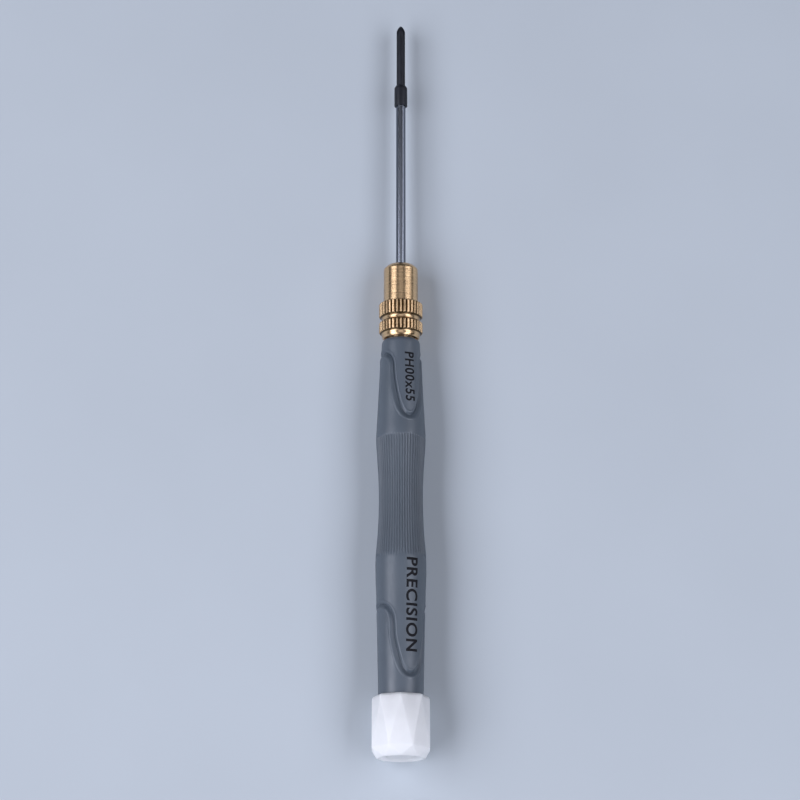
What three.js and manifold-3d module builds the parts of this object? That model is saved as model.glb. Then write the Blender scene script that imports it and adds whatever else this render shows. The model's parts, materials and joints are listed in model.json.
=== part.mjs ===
// Precision screwdriver with a collet chuck and a cap that spins on a small ball bearing.
// Millimetres. The tool lies along +Y with its tip at +Y, and +Z is up.
// The origin is on the axis, at the outer face of the plug in the middle of the cap's end.
import * as THREE from 'three';
import { mergeVertices } from 'three/addons/utils/BufferGeometryUtils.js';
import { ConvexGeometry } from 'three/addons/geometries/ConvexGeometry.js';
import Module from 'manifold-3d';

const wasm = await Module();
wasm.setup();

// ---- Driving dimensions ----

const TIP_Y = 160.4;              // point of the driver bit
const SHANK_RADIUS = 1.0;
const SHANK_REAR_Y = 77.8;        // the shank stands on the bottom of the chuck's bore
const SHANK_FRONT_Y = 143.9;
const COLLAR = { radius: 1.4, rearY: 141.6, frontY: 146.4, taper: 0.6 };
const BIT_RADIUS = 0.925;
const FLUTE = { size: 1.6, length: 6, tipDepth: 0.22, lean: 14.5 };

const NOSE_Y = 88.3;              // front face of the handle
const NOSE_ROUND = { across: 0.72, along: 1.1 };
const SPIGOT = { endY: 8.7, radius: 4.62, chamfer: 0.3 };
const SCREW_HOLE = { radius: 1.5, endY: 22.5 };
const HANDLE_REAR_Y = 12.4;       // where the handle comes out of the cap

// The stud is moulded into the handle by its tang. Its front holds the collet and carries the nut's thread.
const STUD = {
  tangRadius: 2.25, tangEndY: 66.4, threadRadius: 2.75, threadRearY: NOSE_Y + 0.15, frontY: 100.3,
  boreRadius: 1.15, pocketRadius: 2.0, pocketY: 93, chamfer: 0.35,
};
const COLLET = {
  boreRadius: SHANK_RADIUS + 0.04, rearY: 93.2, radius: 1.93, coneRearY: 101, coneRadius: 2.4,
  frontY: 103.6, frontRadius: 1.75, slotWidth: 0.35, slotLength: 8,
};
const NUT = {
  rearY: 88.6, frontY: 105, barrelRadius: 3.62, knurlRadius: 4.61, knurlRoot: 4.2, grooveRadius: 3.85,
  rearRadius: 3.75, recessRadius: 3.45, recessY: 89.4, rimRadius: 2.7, mouthRadius: 1.25,
  seatY: 104.05, seatRadius: 1.73, coneRearY: 101.1, coneRearRadius: 2.5, threadBore: 2.9,
};
const KNURLED_BANDS = [[89.8, 92.2], [93.3, 96.4]];   // [rear, front] of each band
const BAND_CHAMFER = 0.2;
const FLUTES = 34;                // flutes round each knurled band

const GRIP_PROUD = 0.05;          // the grip stands this far outside the outline, the core this far inside
const GRIP_DEPTH = 1.1;           // depth of the pocket that the grip fills
const PART_LINE = 0.15;           // half the gap between grip and core along a wave line
const SLEEVE_CLEARANCE = 0.05;

const BEARING = { boreR: 1.5, innerR: 2.15, outerR: 3.4, outsideR: 4.0, rearY: 4, frontY: 7 };
const BALL = { radius: 0.75, pitchR: 2.775, y: 5.5, count: 7 };
const RACE_RADIUS = 0.79;

const CAP_SIDES = 8;
const CAP_REST_RADIUS = 5.92;     // from the axis to the facets that the tool rests on
const CAP = { frontY: 12.3, crownY: 11.8, widestY: 1.6, rimY: -0.35, rimRadius: 5.0, frontRadius: 5.62 };
const DISH = { rimRadius: 4.3, floorRadius: 4.1 };
const CAP_BORE = { plugRadius: 2.92, plugY: 1.65, headRadius: 3.4, bearingRadius: 4.05, spigotRadius: 4.87 };
const PLUG = { radius: 2.87, thickness: 1.55, chamfer: 0.15 };
const SCREW = { headY: 2.35, headRadius: 2.6, shaftRadius: 1.42, endY: 22, chamfer: 0.4 };
const SHIELD = { innerR: 2.3, outerR: 3.33, thickness: 0.15, rearY: 4.12, frontY: 6.73 };
const CAGE = { innerR: 2.5, outerR: 3.05, halfWidth: 1.05, ballClearance: 0.09 };

// Outline of the handle, as [y, radius], halfway between the faces of core and grip.
const OUTLINE = [
  [12.4, 4.7], [20, 4.84], [28.3, 5.0], [32.5, 5.03], [36.7, 5.17], [40.9, 5.2], [45.2, 4.87], [49.4, 4.62],
  [53.7, 4.54], [58, 4.62], [62.2, 4.87], [66.5, 5.13], [70.9, 4.92], [79.6, 4.48], [84, 4.27], [88.3, 4.03],
];

// Each wave line runs round the handle as two tongues that point at the cap, with two channels between.
// From its tip a tongue widens over `tongue`, its sides run straight, and the channel rises by `channel`.
// `skew` moves a tongue's tip off its middle, as a share of its half width.
const FRONT_WAVE = { sideLow: 80, sideHigh: 81, tongue: 9.1, channel: 4.0 };
const REAR_WAVE = { sideLow: 24.2, sideHigh: 26, tongue: 7.75, channel: 5.0 };
const TONGUE_DIRECTION = 24.5;    // degrees from +Z towards +X to the middle of one tongue
const TONGUE_HALF_ANGLE = 43.5;
const TONGUE_SIDE_ANGLE = 1;      // degrees that a tongue's straight side leans over
const TONGUE_POWER = 2.5;         // 2 would make a tongue's tip a parabola; more makes it blunter
const CHANNEL_POWER = 2.5;        // 2 would make a channel's top an ellipse; more makes it squarer
const WAVE_RADIUS = 4.8;

// ---- Materials ----

const material = (color, roughness, metalness = 0) =>
  new THREE.MeshStandardMaterial({ color, roughness, metalness });
const handleGrey = material(0x68727e, 0.5);
const gripGrey = material(0x5e6874, 0.75);
const brass = material(0xc89a62, 0.3, 1);
const plated = material(0xb4b8be, 0.15, 1);
const blackSteel = material(0x25272c, 0.45, 0.6);
const whitePlastic = material(0xeff1f5, 0.35);
const bearingSteel = material(0xaeb2b8, 0.2, 1);
const zincSteel = material(0x9aa0a6, 0.35, 1);

// ---- Geometry helpers ----

const radians = THREE.MathUtils.degToRad;

// Point at a radius and an angle round the axis, measured in degrees from +Z towards +X.
function polar(radius, angle, y) {
  return new THREE.Vector3(radius * Math.sin(radians(angle)), y, radius * Math.cos(radians(angle)));
}

// Solid of revolution about Y. The profile's [radius, y] points run up the outside and down the inside.
function turned(profile, segments) {
  const onAxis = profile[0][0] === 0;
  const points = onAxis ? profile : [...profile, profile[0]];
  return new THREE.LatheGeometry(points.map(([r, y]) => new THREE.Vector2(r, y)), segments);
}

// Ring whose profile changes round the axis: profileAt(angle) gives the [radius, y] points there.
function shapedRing(angles, profileAt) {
  const rows = angles.map((angle) => profileAt(angle).map(([r, y]) => polar(r, angle, y)));
  const count = rows[0].length;
  const positions = [];
  const triangle = (a, b, c) => {
    if (a.distanceTo(b) > 1e-6 && b.distanceTo(c) > 1e-6 && c.distanceTo(a) > 1e-6) {
      positions.push(...a.toArray(), ...b.toArray(), ...c.toArray());
    }
  };
  const closed = rows[0][0].distanceTo(rows[1][0]) > 1e-6;
  rows.forEach((row, i) => {
    const next = rows[(i + 1) % rows.length];
    for (let j = 0; j < (closed ? count : count - 1); j++) {
      const k = (j + 1) % count;
      triangle(row[j], next[j], next[k]);
      triangle(row[j], next[k], row[k]);
    }
  });
  const geometry = new THREE.BufferGeometry();
  geometry.setAttribute('position', new THREE.Float32BufferAttribute(positions, 3));
  return geometry;
}

function toSolid(geometry) {
  const bare = new THREE.BufferGeometry();
  bare.setAttribute('position', geometry.getAttribute('position'));
  bare.setIndex(geometry.getIndex());
  const merged = mergeVertices(bare, 1e-5);
  const index = merged.getIndex().array;
  const kept = [];
  for (let i = 0; i < index.length; i += 3) {
    const [a, b, c] = index.slice(i, i + 3);
    if (a !== b && b !== c && c !== a) kept.push(a, b, c);
  }
  const vertProperties = new Float32Array(merged.getAttribute('position').array);
  return new wasm.Manifold(new wasm.Mesh({ numProp: 3, vertProperties, triVerts: new Uint32Array(kept) }));
}

function toGeometry(solid) {
  const mesh = solid.getMesh();
  const geometry = new THREE.BufferGeometry();
  geometry.setAttribute('position', new THREE.BufferAttribute(new Float32Array(mesh.vertProperties), 3));
  geometry.setIndex(new THREE.BufferAttribute(new Uint32Array(mesh.triVerts), 1));
  return geometry;
}

function cut(geometry, cutters) {
  return toGeometry(cutters.reduce((left, cutter) => left.subtract(toSolid(cutter)), toSolid(geometry)));
}

const model = new THREE.Group();

function add(name, geometry, finish) {
  const mesh = new THREE.Mesh(geometry, finish);
  mesh.name = name;
  model.add(mesh);
  return mesh;
}

// ---- Handle ----

const outlineCurve = new THREE.SplineCurve(OUTLINE.map(([y, r]) => new THREE.Vector2(y, r)));
const outlineSamples = outlineCurve.getPoints(400);

function outline(y) {
  const at = outlineSamples.findIndex((point) => point.x >= y);
  if (at <= 0) return at === 0 ? outlineSamples[0].y : outlineSamples.at(-1).y;
  const [before, after] = [outlineSamples[at - 1], outlineSamples[at]];
  return THREE.MathUtils.mapLinear(y, before.x, after.x, before.y, after.y);
}

// Height of a wave line at an angle round the handle. A positive shift widens its tongues and moves the
// whole line towards the cap.
function waveY(wave, angle, shift) {
  const turn = Math.abs(THREE.MathUtils.euclideanModulo(angle - TONGUE_DIRECTION + 90, 180) - 90);
  const half = TONGUE_HALF_ANGLE + THREE.MathUtils.radToDeg(shift / WAVE_RADIUS);
  if (turn <= half) {
    return wave.sideLow - shift - wave.tongue * (1 - (turn / half) ** TONGUE_POWER);
  }
  const across = (90 - turn) / (90 - half - TONGUE_SIDE_ANGLE);
  if (across < 1) {
    return wave.sideHigh - shift + wave.channel * (1 - across ** CHANNEL_POWER) ** (1 / CHANNEL_POWER);
  }
  return THREE.MathUtils.lerp(wave.sideLow, wave.sideHigh, (turn - half) / TONGUE_SIDE_ANGLE) - shift;
}

// Angles round the handle, close together where the tongues' sides are steep.
function handleAngles() {
  const spread = THREE.MathUtils.radToDeg(PART_LINE / WAVE_RADIUS);
  const [narrow, wide] = [TONGUE_HALF_ANGLE - spread, TONGUE_HALF_ANGLE + spread];
  const quarter = [15, 30, 45, 60, 75, 90].map((turn) => narrow * Math.sin(radians(turn)));
  quarter.push(narrow + TONGUE_SIDE_ANGLE, wide, wide + TONGUE_SIDE_ANGLE);
  const rest = 90 - wide - TONGUE_SIDE_ANGLE;
  quarter.push(...[72, 54, 36, 18, 0].map((turn) => 90 - rest * Math.sin(radians(turn))));
  const half = [0, ...quarter, ...quarter.slice(0, -1).reverse().map((angle) => 180 - angle)];
  return [...half, ...half.map((angle) => angle + 180)].map((angle) => angle + TONGUE_DIRECTION);
}

const GRIP_STATIONS = [34, 39, 43.5, 49, 54, 60, 66.3, 68.5];
const coreRadius = (y) => outline(y) - GRIP_PROUD;
const gripRadius = (y) => outline(y) + GRIP_PROUD;
const pocketRadius = (y) => outline(y) - GRIP_DEPTH;
const between = (a, b) => (a + b) / 2;

function makeHandleCore() {
  const tangHole = { radius: STUD.tangRadius + 0.05, endY: STUD.tangEndY - 0.2 };
  const noseRadius = coreRadius(NOSE_Y);
  return shapedRing(handleAngles(), (angle) => {
    const rear = waveY(REAR_WAVE, angle, PART_LINE);
    const front = waveY(FRONT_WAVE, angle, -PART_LINE);
    const outer = (y) => [coreRadius(y), y];
    const pocket = (y) => [pocketRadius(y), y];
    return [
      [0, SCREW_HOLE.endY], [SCREW_HOLE.radius, SCREW_HOLE.endY], [SCREW_HOLE.radius, SPIGOT.endY],
      [SPIGOT.radius - SPIGOT.chamfer, SPIGOT.endY], [SPIGOT.radius, SPIGOT.endY + SPIGOT.chamfer],
      [SPIGOT.radius, HANDLE_REAR_Y - 0.1],
      outer(HANDLE_REAR_Y), outer(between(HANDLE_REAR_Y, rear)), outer(rear),
      pocket(rear), ...GRIP_STATIONS.map(pocket), pocket(front),
      outer(front), outer(between(front, NOSE_Y - NOSE_ROUND.along)), outer(NOSE_Y - NOSE_ROUND.along),
      [noseRadius - NOSE_ROUND.across / 4, NOSE_Y - NOSE_ROUND.along / 4],
      [noseRadius - NOSE_ROUND.across, NOSE_Y],
      [tangHole.radius, NOSE_Y], [tangHole.radius, tangHole.endY], [0, tangHole.endY],
    ];
  });
}

function makeGripSleeve() {
  return shapedRing(handleAngles(), (angle) => {
    const rear = waveY(REAR_WAVE, angle, -PART_LINE);
    const front = waveY(FRONT_WAVE, angle, PART_LINE);
    const stations = [rear, ...GRIP_STATIONS, front];
    const outside = stations.map((y) => [gripRadius(y), y]);
    const inside = stations.map((y) => [pocketRadius(y) + SLEEVE_CLEARANCE, y]);
    return [...outside, ...inside.reverse()];
  });
}

// ---- Chuck ----

function makeChuckBody() {
  const { tangRadius, tangEndY, threadRadius, threadRearY, frontY, chamfer } = STUD;
  const boreEndY = SHANK_REAR_Y - 0.1;
  const pocketCone = STUD.pocketRadius - STUD.boreRadius;
  return turned([
    [0, tangEndY], [tangRadius - 0.2, tangEndY], [tangRadius, tangEndY + 0.2],
    [tangRadius, threadRearY], [threadRadius, threadRearY],
    [threadRadius, frontY - chamfer], [threadRadius - chamfer, frontY], [STUD.pocketRadius, frontY],
    [STUD.pocketRadius, STUD.pocketY], [STUD.boreRadius, STUD.pocketY - pocketCone],
    [STUD.boreRadius, boreEndY], [0, boreEndY],
  ], 28);
}

function makeCollet() {
  const { boreRadius, radius, rearY, frontY, frontRadius } = COLLET;
  const { coneRearY, coneRadius, slotWidth, slotLength } = COLLET;
  const shoulder = coneRadius - radius;
  const sleeve = turned([
    [boreRadius, rearY], [radius - 0.1, rearY], [radius, rearY + 0.2], [radius, coneRearY - shoulder - 0.1],
    [coneRadius, coneRearY - 0.1], [coneRadius, coneRearY], [frontRadius, frontY], [boreRadius, frontY],
  ], 28);
  const slots = [0, 90].map((turn) => {
    const slot = new THREE.BoxGeometry(slotWidth, slotLength, 4 * coneRadius);
    return slot.rotateY(radians(turn)).translate(0, frontY - slotLength / 2 + 0.1, 0);
  });
  return cut(sleeve, slots);
}

function makeChuckNut() {
  const angles = Array.from({ length: 2 * FLUTES }, (_, i) => (i * 180) / FLUTES);
  const [rearBand, frontBand] = KNURLED_BANDS;
  const rimRound = 0.8;
  return shapedRing(angles, (angle) => {
    const onCrest = Math.round((angle * FLUTES) / 180) % 2 === 0;
    const knurl = onCrest ? NUT.knurlRadius : NUT.knurlRoot;
    const band = ([rear, front]) => [
      [NUT.knurlRoot, rear], [knurl, rear + BAND_CHAMFER],
      [knurl, front - BAND_CHAMFER], [NUT.knurlRoot, front],
    ];
    return [
      [NUT.recessRadius, NUT.rearY], [NUT.rearRadius, NUT.rearY], ...band(rearBand),
      [NUT.grooveRadius, rearBand[1] + 0.05], [NUT.grooveRadius, frontBand[0] - 0.05], ...band(frontBand),
      [NUT.barrelRadius, frontBand[1] + 0.05], [NUT.barrelRadius, NUT.frontY - rimRound],
      [NUT.barrelRadius - rimRound / 4, NUT.frontY - rimRound / 3], [NUT.rimRadius, NUT.frontY],
      [NUT.mouthRadius, NUT.frontY], [NUT.mouthRadius, NUT.seatY], [NUT.seatRadius, NUT.seatY],
      [NUT.coneRearRadius, NUT.coneRearY], [NUT.threadBore, NUT.coneRearY - 0.4],
      [NUT.threadBore, NUT.recessY], [NUT.recessRadius, NUT.recessY],
    ];
  });
}

// ---- Blade ----

function makeShank() {
  return turned([
    [0, SHANK_REAR_Y], [SHANK_RADIUS - 0.2, SHANK_REAR_Y], [SHANK_RADIUS, SHANK_REAR_Y + 0.2],
    [SHANK_RADIUS, SHANK_FRONT_Y], [0, SHANK_FRONT_Y],
  ], 20);
}

function makeBitSleeve() {
  const { radius, rearY, frontY, taper } = COLLAR;
  const [shankBore, bitBore] = [SHANK_RADIUS + 0.03, BIT_RADIUS + 0.03];
  const stepY = SHANK_FRONT_Y + 0.15;
  return turned([
    [shankBore, rearY], [radius, rearY], [radius, frontY - taper], [bitBore + 0.06, frontY],
    [bitBore, frontY], [bitBore, stepY], [shankBore, stepY],
  ], 24);
}

function makeDriverBit() {
  const rearY = SHANK_FRONT_Y + 0.2;
  const noseLength = 1.3;
  const rod = turned([
    [0, rearY], [BIT_RADIUS, rearY], [BIT_RADIUS, TIP_Y - noseLength],
    [BIT_RADIUS * 0.75, TIP_Y - noseLength / 2], [BIT_RADIUS * 0.3, TIP_Y - noseLength / 12], [0, TIP_Y],
  ], 24);
  const flutes = [45, 135, 225, 315].map((turn) => {
    const tool = new THREE.BoxGeometry(FLUTE.size, FLUTE.length, FLUTE.size);
    tool.rotateY(Math.PI / 4).translate(0, -FLUTE.length / 2, FLUTE.size / Math.SQRT2);
    tool.rotateX(radians(-FLUTE.lean)).translate(0, TIP_Y, FLUTE.tipDepth);
    return tool.rotateY(radians(turn));
  });
  return cut(rod, flutes);
}

// ---- Cap and its bearing ----

function makeCapShell() {
  const widestRadius = CAP_REST_RADIUS / Math.cos(Math.PI / CAP_SIDES);
  const ring = (radius, y, turn) =>
    Array.from({ length: CAP_SIDES }, (_, i) => polar(radius, ((i + turn) * 360) / CAP_SIDES, y));
  const faceted = new ConvexGeometry([
    ...ring(CAP.frontRadius, CAP.frontY, 0), ...ring(CAP_REST_RADIUS, CAP.crownY, 0),
    ...ring(widestRadius, CAP.widestY, 0.5), ...ring(CAP.rimRadius, CAP.rimY, 0),
  ]);
  const { plugRadius, plugY, headRadius, bearingRadius, spigotRadius } = CAP_BORE;
  const [seatRearY, seatFrontY] = [BEARING.rearY - 0.05, BEARING.frontY + 0.2];
  const bore = turned([
    [0, CAP.rimY - 1], [DISH.rimRadius, CAP.rimY - 1], [DISH.rimRadius, CAP.rimY], [DISH.floorRadius, 0],
    [plugRadius, 0], [plugRadius, plugY], [headRadius, plugY], [headRadius, seatRearY],
    [bearingRadius, seatRearY], [bearingRadius, seatFrontY], [spigotRadius, seatFrontY],
    [spigotRadius, CAP.frontY + 1], [0, CAP.frontY + 1],
  ], 32);
  return cut(faceted, [bore]);
}

function makeCapPlug() {
  const { radius, thickness, chamfer } = PLUG;
  return turned([[0, 0], [radius - chamfer, 0], [radius, chamfer], [radius, thickness], [0, thickness]], 32);
}

function makePivotScrew() {
  const { headY, headRadius, shaftRadius, endY, chamfer } = SCREW;
  const headFrontY = BEARING.rearY - 0.1;
  const blank = turned([
    [0, headY], [headRadius - chamfer, headY], [headRadius, headY + chamfer], [headRadius, headFrontY],
    [shaftRadius, headFrontY], [shaftRadius, endY - chamfer], [shaftRadius - chamfer, endY], [0, endY],
  ], 24);
  const recess = { length: 2.4, depth: 0.8, width: 0.5 };
  const slots = [0, 90].map((turn) => {
    const slot = new THREE.BoxGeometry(recess.length, 2 * recess.depth, recess.width);
    return slot.rotateY(radians(turn)).translate(0, headY, 0);
  });
  return cut(blank, slots);
}

// Ball groove across a ring's face at a radius; side is +1 for the inner ring and -1 for the outer.
function race(faceRadius, side) {
  const away = Math.abs(faceRadius - BALL.pitchR);
  const halfAngle = Math.acos(away / RACE_RADIUS);
  const steps = 5;
  return Array.from({ length: steps + 1 }, (_, i) => {
    const turn = THREE.MathUtils.lerp(-halfAngle, halfAngle, i / steps);
    return [BALL.pitchR - side * RACE_RADIUS * Math.cos(turn), BALL.y + side * RACE_RADIUS * Math.sin(turn)];
  });
}

function makeBearingInnerRing() {
  const { boreR, innerR, rearY, frontY } = BEARING;
  return turned([[boreR, rearY], [innerR, rearY], ...race(innerR, 1), [innerR, frontY], [boreR, frontY]], 28);
}

function makeBearingOuterRing() {
  const { outerR, outsideR, rearY, frontY } = BEARING;
  return turned(
    [[outerR, rearY], [outsideR, rearY], [outsideR, frontY], [outerR, frontY], ...race(outerR, -1)], 28);
}

function makeBearingShield(y) {
  const { innerR, outerR, thickness } = SHIELD;
  return turned([[innerR, y], [outerR, y], [outerR, y + thickness], [innerR, y + thickness]], 24);
}

function makeBearingSpacer() {
  const { boreR, innerR, frontY } = BEARING;
  const [rear, front] = [frontY + 0.05, SPIGOT.endY - 0.05];
  return turned([[boreR, rear], [innerR, rear], [innerR, front], [boreR, front]], 24);
}

const ballAngles = Array.from({ length: BALL.count }, (_, i) => (i * 360) / BALL.count);

function makeBearingCage() {
  const { innerR, outerR, halfWidth, ballClearance } = CAGE;
  const [rear, front] = [BALL.y - halfWidth, BALL.y + halfWidth];
  const ring = turned([[innerR, rear], [outerR, rear], [outerR, front], [innerR, front]], 28);
  const pockets = ballAngles.map((angle) => {
    const centre = polar(BALL.pitchR, angle, BALL.y);
    const pocket = new THREE.SphereGeometry(BALL.radius + ballClearance, 10, 6);
    return pocket.translate(centre.x, centre.y, centre.z);
  });
  return cut(ring, pockets);
}

// ---- Assembly ----

add('handle_core', makeHandleCore(), handleGrey);
add('grip_sleeve', makeGripSleeve(), gripGrey);
add('chuck_body', makeChuckBody(), brass);
add('pivot_screw', makePivotScrew(), zincSteel);
add('bearing_inner_ring', makeBearingInnerRing(), bearingSteel);
add('bearing_spacer', makeBearingSpacer(), zincSteel);

add('cap_shell', makeCapShell(), whitePlastic);
add('cap_plug', makeCapPlug(), whitePlastic);
add('bearing_outer_ring', makeBearingOuterRing(), bearingSteel);
add('bearing_shield_rear', makeBearingShield(SHIELD.rearY), zincSteel);
add('bearing_shield_front', makeBearingShield(SHIELD.frontY), zincSteel);

add('bearing_cage', makeBearingCage(), zincSteel);
ballAngles.forEach((angle, i) => {
  const ball = add(`bearing_ball_${i + 1}`, new THREE.SphereGeometry(BALL.radius, 10, 6), bearingSteel);
  ball.position.copy(polar(BALL.pitchR, angle, BALL.y));
});

add('collet', makeCollet(), brass);
add('chuck_nut', makeChuckNut(), brass);

add('shank', makeShank(), plated);
add('bit_sleeve', makeBitSleeve(), blackSteel);
add('driver_bit', makeDriverBit(), blackSteel);

export default model;
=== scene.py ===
"""Looks of a precision screwdriver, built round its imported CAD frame.

Lengths are in millimetres in this script and become metres where a mesh is made.
The tool lies along +Y with its tip at +Y, and +Z is up. Angles round the axis go from +Z towards +X.
"""

import json
import math

import bmesh
import bpy
import numpy as np
from mathutils import Matrix, Vector


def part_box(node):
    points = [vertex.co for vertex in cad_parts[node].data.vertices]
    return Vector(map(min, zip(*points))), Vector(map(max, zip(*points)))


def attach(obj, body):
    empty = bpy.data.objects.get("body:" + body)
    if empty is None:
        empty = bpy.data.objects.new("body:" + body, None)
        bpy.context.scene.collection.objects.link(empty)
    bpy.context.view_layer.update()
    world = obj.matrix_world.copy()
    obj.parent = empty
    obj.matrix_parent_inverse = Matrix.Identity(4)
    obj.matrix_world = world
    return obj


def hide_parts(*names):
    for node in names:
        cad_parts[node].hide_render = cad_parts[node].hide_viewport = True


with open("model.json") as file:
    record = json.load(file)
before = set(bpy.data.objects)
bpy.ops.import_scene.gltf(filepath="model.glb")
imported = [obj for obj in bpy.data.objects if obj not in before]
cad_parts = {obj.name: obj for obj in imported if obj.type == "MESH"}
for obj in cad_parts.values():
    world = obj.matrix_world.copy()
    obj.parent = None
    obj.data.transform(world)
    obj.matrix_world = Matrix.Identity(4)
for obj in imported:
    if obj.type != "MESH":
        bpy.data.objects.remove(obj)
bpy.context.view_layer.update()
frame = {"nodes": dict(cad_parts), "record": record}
MM = 0.001


def box_mm(node):
    """Lowest and highest corner of a CAD node, in millimetres."""
    low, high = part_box(node)
    return low / MM, high / MM


# ---- Sizes, taken from the frame where it has them ----

NOSE_Y = box_mm("handle_core")[1].y
SPIGOT_Y = box_mm("handle_core")[0].y
HANDLE_REAR_Y = SPIGOT_Y + 3.7
SPIGOT_RADIUS = 4.62
NUT_LOW, NUT_HIGH = box_mm("chuck_nut")
STUD_LOW, STUD_HIGH = box_mm("chuck_body")
SHANK_LOW, SHANK_HIGH = box_mm("shank")
COLLAR_LOW, COLLAR_HIGH = box_mm("bit_sleeve")
BIT_LOW, BIT_HIGH = box_mm("driver_bit")
CAP_LOW, CAP_HIGH = box_mm("cap_shell")
PLUG_HIGH = box_mm("cap_plug")[1]
REST_Z = CAP_LOW.z

# Outline of the handle, as (y, radius), halfway between the faces of core and grip.
OUTLINE = np.array([
    (12.4, 4.7), (20, 4.84), (28.3, 5.0), (32.5, 5.03), (36.7, 5.17), (40.9, 5.2),
    (45.2, 4.87), (49.4, 4.62), (53.7, 4.54), (58, 4.62), (62.2, 4.87), (66.5, 5.13),
    (70.9, 4.92), (79.6, 4.48), (84, 4.27), (88.3, 4.03),
])
GRIP_PROUD = 0.05                # how far grip and core stand off the outline, to either side
POCKET_DEPTH = 1.1
SLEEVE_CLEARANCE = 0.05
NOSE_HOLE_RADIUS = 2.3           # holds the chuck's stud
BLADE_HOLE_RADIUS = 1.0
BLADE_HOLE_END_Y = 66.2
PIVOT_HOLE = {"radius": 1.5, "depth": 13.8, "mouth": 4.0}

# Each wave line has two tongues that point at the cap, with two channels between them.
# Its direction is in degrees from +Z towards +X to the middle of one tongue.
FRONT_WAVE = {"side_low": 80.0, "side_high": 81.0, "tongue": 9.1, "channel": 4.0,
              "direction": 23.0, "half_angle": 44.0}
REAR_WAVE = {"side_low": 24.2, "side_high": 26.0, "tongue": 7.75, "channel": 5.0,
             "direction": 26.0, "half_angle": 42.8}
TONGUE_SIDE_ANGLE = 1.0
TONGUE_POWER = 2.5
CHANNEL_POWER = 2.5
WAVE_RADIUS = 4.8
CHANNEL_STEPS = 200

NOSE_ROUND = {"across": 0.72, "along": 1.1}
PART_GAP = 0.03                  # half the seam at the bottom of the groove
GROOVE = {"depth": 0.42, "cap_width": 0.85, "tip_width": 0.52}
LIP = {"height": 0.05, "spread": 0.16}

RIBS = {"count": 54, "depth": 0.2, "rear": 40.6, "front": 66.9, "fade": 1.6, "front_fade": 0.56}
COLUMNS = RIBS["count"] * 10     # columns of the handle's meshes
EVEN_ARC = (np.arange(COLUMNS) / COLUMNS * 2 - 0.5) * math.pi * WAVE_RADIUS
LEVEL_DIRECTION = (FRONT_WAVE["direction"] + REAR_WAVE["direction"]) / 2
LEVEL_ARC = EVEN_ARC + math.radians(LEVEL_DIRECTION) * WAVE_RADIUS     # columns of the level rings


# ---- Mesh helpers ----

def new_object(name, vertices, faces):
    """Smooth-shaded object from vertices in millimetres."""
    mesh = bpy.data.meshes.new(name)
    mesh.from_pydata([tuple(v) for v in np.asarray(vertices, float) * MM], [], faces)
    mesh.validate()
    mesh.polygons.foreach_set("use_smooth", [True] * len(mesh.polygons))
    obj = bpy.data.objects.new(name, mesh)
    bpy.context.scene.collection.objects.link(obj)
    return obj


def bmesh_object(name, bm):
    """Object from a bmesh in millimetres, which is used up."""
    bm.transform(Matrix.Scale(MM, 4))
    mesh = bpy.data.meshes.new(name)
    bm.to_mesh(mesh)
    bm.free()
    obj = bpy.data.objects.new(name, mesh)
    bpy.context.scene.collection.objects.link(obj)
    return obj


def polar(radius, angle, y):
    """Points at a radius and an angle in degrees round the axis; arguments may be arrays."""
    turn = np.radians(angle)
    return np.stack(np.broadcast_arrays(radius * np.sin(turn), y, radius * np.cos(turn)), axis=-1)


def ring_object(name, rows, closed):
    """Skin over rings of points. The rows run up the outside and down the inside.
    An open skin ends in a fan at each end, round the middle of its first and its last ring."""
    rows = np.asarray(rows, float)
    count, columns = rows.shape[:2]
    vertices = rows.reshape(-1, 3)
    faces = []
    for j in range(count if closed else count - 1):
        a, b = j * columns, ((j + 1) % count) * columns
        faces.extend((a + i, a + (i + 1) % columns, b + (i + 1) % columns, b + i) for i in range(columns))
    if not closed:
        vertices = np.vstack([vertices, rows[0].mean(0), rows[-1].mean(0)])
        first, last, top = count * columns, count * columns + 1, (count - 1) * columns
        faces.extend((first, (i + 1) % columns, i) for i in range(columns))
        faces.extend((last, top + i, top + (i + 1) % columns) for i in range(columns))
    return new_object(name, vertices, faces)


def filleted(profile, steps=5):
    """Profile of (radius, y, fillet) corners with each corner rounded; a fillet of 0 stays sharp."""
    points = [np.array(p[:2], float) for p in profile]
    out = []
    for i, corner in enumerate(points):
        fillet = profile[i][2] if len(profile[i]) > 2 else 0
        if not fillet:
            out.append(corner)
            continue
        before, after = points[i - 1] - corner, points[(i + 1) % len(points)] - corner
        reach = min(fillet, 0.45 * np.linalg.norm(before), 0.45 * np.linalg.norm(after))
        start = corner + before / np.linalg.norm(before) * reach
        end = corner + after / np.linalg.norm(after) * reach
        for t in np.linspace(0, 1, steps + 1):
            out.append((1 - t) ** 2 * start + 2 * t * (1 - t) * corner + t ** 2 * end)
    return np.array(out)


def turned(name, profile, columns=96):
    """Solid of revolution with rounded corners.
    A profile that starts on the axis isn't closed on itself."""
    points = filleted(profile)
    closed = profile[0][0] > 0
    angles = np.arange(columns) * 360 / columns
    if not closed:
        points = points[1:-1]
    rows = np.array([polar(r, angles, y) for r, y in points])
    obj = ring_object(name, rows, closed)
    even_normals(obj)
    return obj


def even_normals(obj):
    """Large faces keep their own normals, so only the rounded edges shade as curves."""
    modifier = obj.modifiers.new("even_normals", "WEIGHTED_NORMAL")
    modifier.weight = 80
    modifier.keep_sharp = True


def place(obj, body, slot, material, *replaced):
    """Gives a piece its material and body, and hides the CAD nodes that it stands for; the slot argument is
    not used.
    """
    obj.data.materials.clear()
    obj.data.materials.append(material)
    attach(obj, body)
    if replaced:
        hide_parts(*replaced)
    return obj


# ---- Handle ----

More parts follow.
